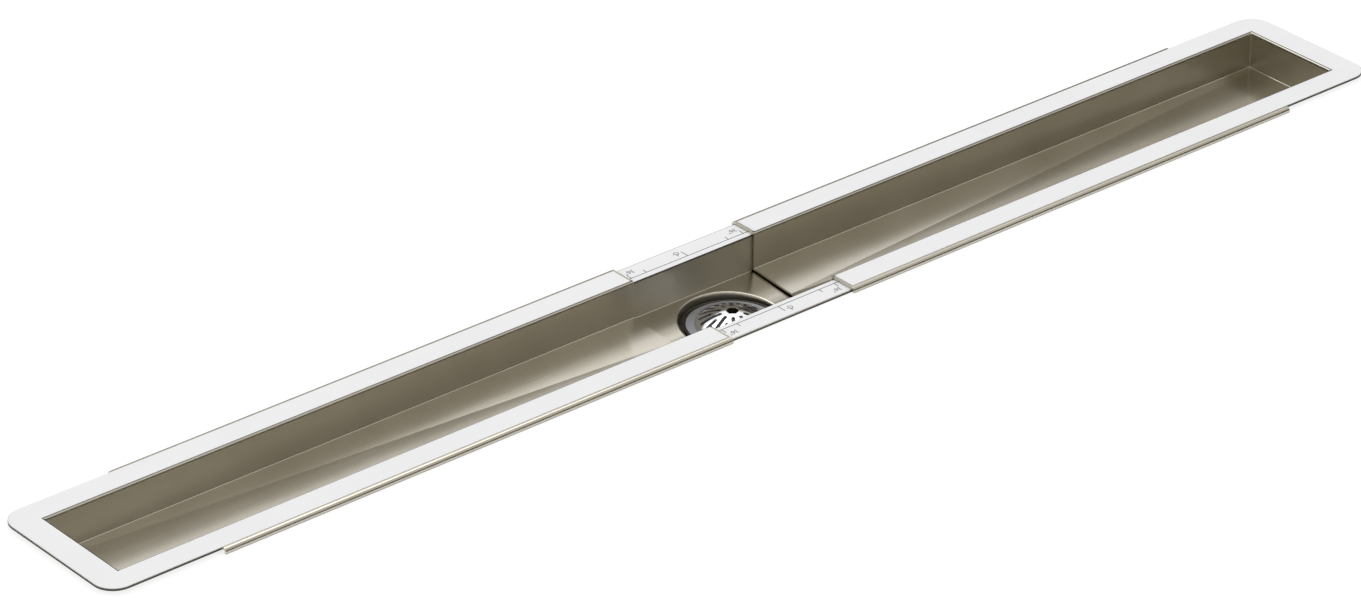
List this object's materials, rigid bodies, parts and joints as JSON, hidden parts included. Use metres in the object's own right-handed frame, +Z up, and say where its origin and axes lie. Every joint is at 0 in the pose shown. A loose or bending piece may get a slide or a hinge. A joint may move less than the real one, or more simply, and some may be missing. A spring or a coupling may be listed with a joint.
{
  "type": "linear shower drain",
  "caption": "Adjustable linear shower drain of folded stainless sheet: end trays slide in a centre tray with a round seat, a domed strainer and a vertical pipe spigot.",
  "frame": {"origin": "on the outlet axis at the lower end of the outlet spigot, where the drain pipe joins", "axes": "+X along the drain, +Y across it, +Z up out of the floor"},
  "size_m": [0.9144, 0.1042, 0.0798],
  "materials": {
    "stainless_sheet": "cold-rolled satin",
    "protective_film": "smooth white film",
    "cast_metal": "satin",
    "seal_rubber": "matt",
    "moulded_plastic": "moulded",
    "polished_chrome": "polished"
  },
  "bodies": {
    "centre": {"centre_tray": "stainless_sheet", "back_scale_film": "protective_film", "front_scale_film": "protective_film", "waste_flange": "cast_metal", "flange_seal": "seal_rubber", "tray_gasket": "seal_rubber", "waste_body": "moulded_plastic", "strainer": "polished_chrome"},
    "left_tray": {"left_end_tray": "stainless_sheet", "left_tray_film": "protective_film"},
    "right_tray": {"right_end_tray": "stainless_sheet", "right_tray_film": "protective_film"}
  },
  "joints": [
    {"name": "left_tray_slide", "type": "slide", "parent": "centre", "child": "left_tray", "axis": [-1, 0, 0], "range_m": [-0.0127, 0.1524]},
    {"name": "right_tray_slide", "type": "slide", "parent": "centre", "child": "right_tray", "axis": [1, 0, 0], "range_m": [-0.0127, 0.1524]}
  ]
}
